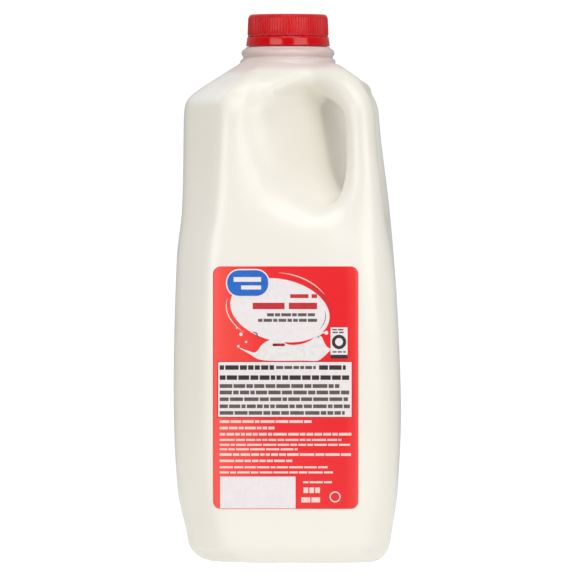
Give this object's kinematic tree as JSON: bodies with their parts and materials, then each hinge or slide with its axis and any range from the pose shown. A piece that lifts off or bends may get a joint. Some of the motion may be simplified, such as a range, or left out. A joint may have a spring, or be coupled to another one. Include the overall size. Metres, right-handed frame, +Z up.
{
  "type": "plastic milk jug",
  "caption": "Capped square plastic jug of milk with a hollow grip at one front corner, a ribbed screw cap, a tamper band and a plain front label.",
  "frame": {"origin": "on the neck's axis, at the level surface the jug stands on", "axes": "+Z up along the neck's axis; the labelled front face looks along -Y; the grip's corner is between -Y and +X"},
  "size_m": [0.1061, 0.1063, 0.2557],
  "materials": {
    "bottle": "translucent blow-moulded polyethylene, satin",
    "milk": null,
    "cap": "moulded red polyethylene, semi-gloss",
    "label": "printed film label, satin"
  },
  "bodies": {
    "root": {"bottle": "bottle", "milk": "milk", "cap": "cap", "tamper_band": "cap", "label": "label"}
  },
  "joints": []
}
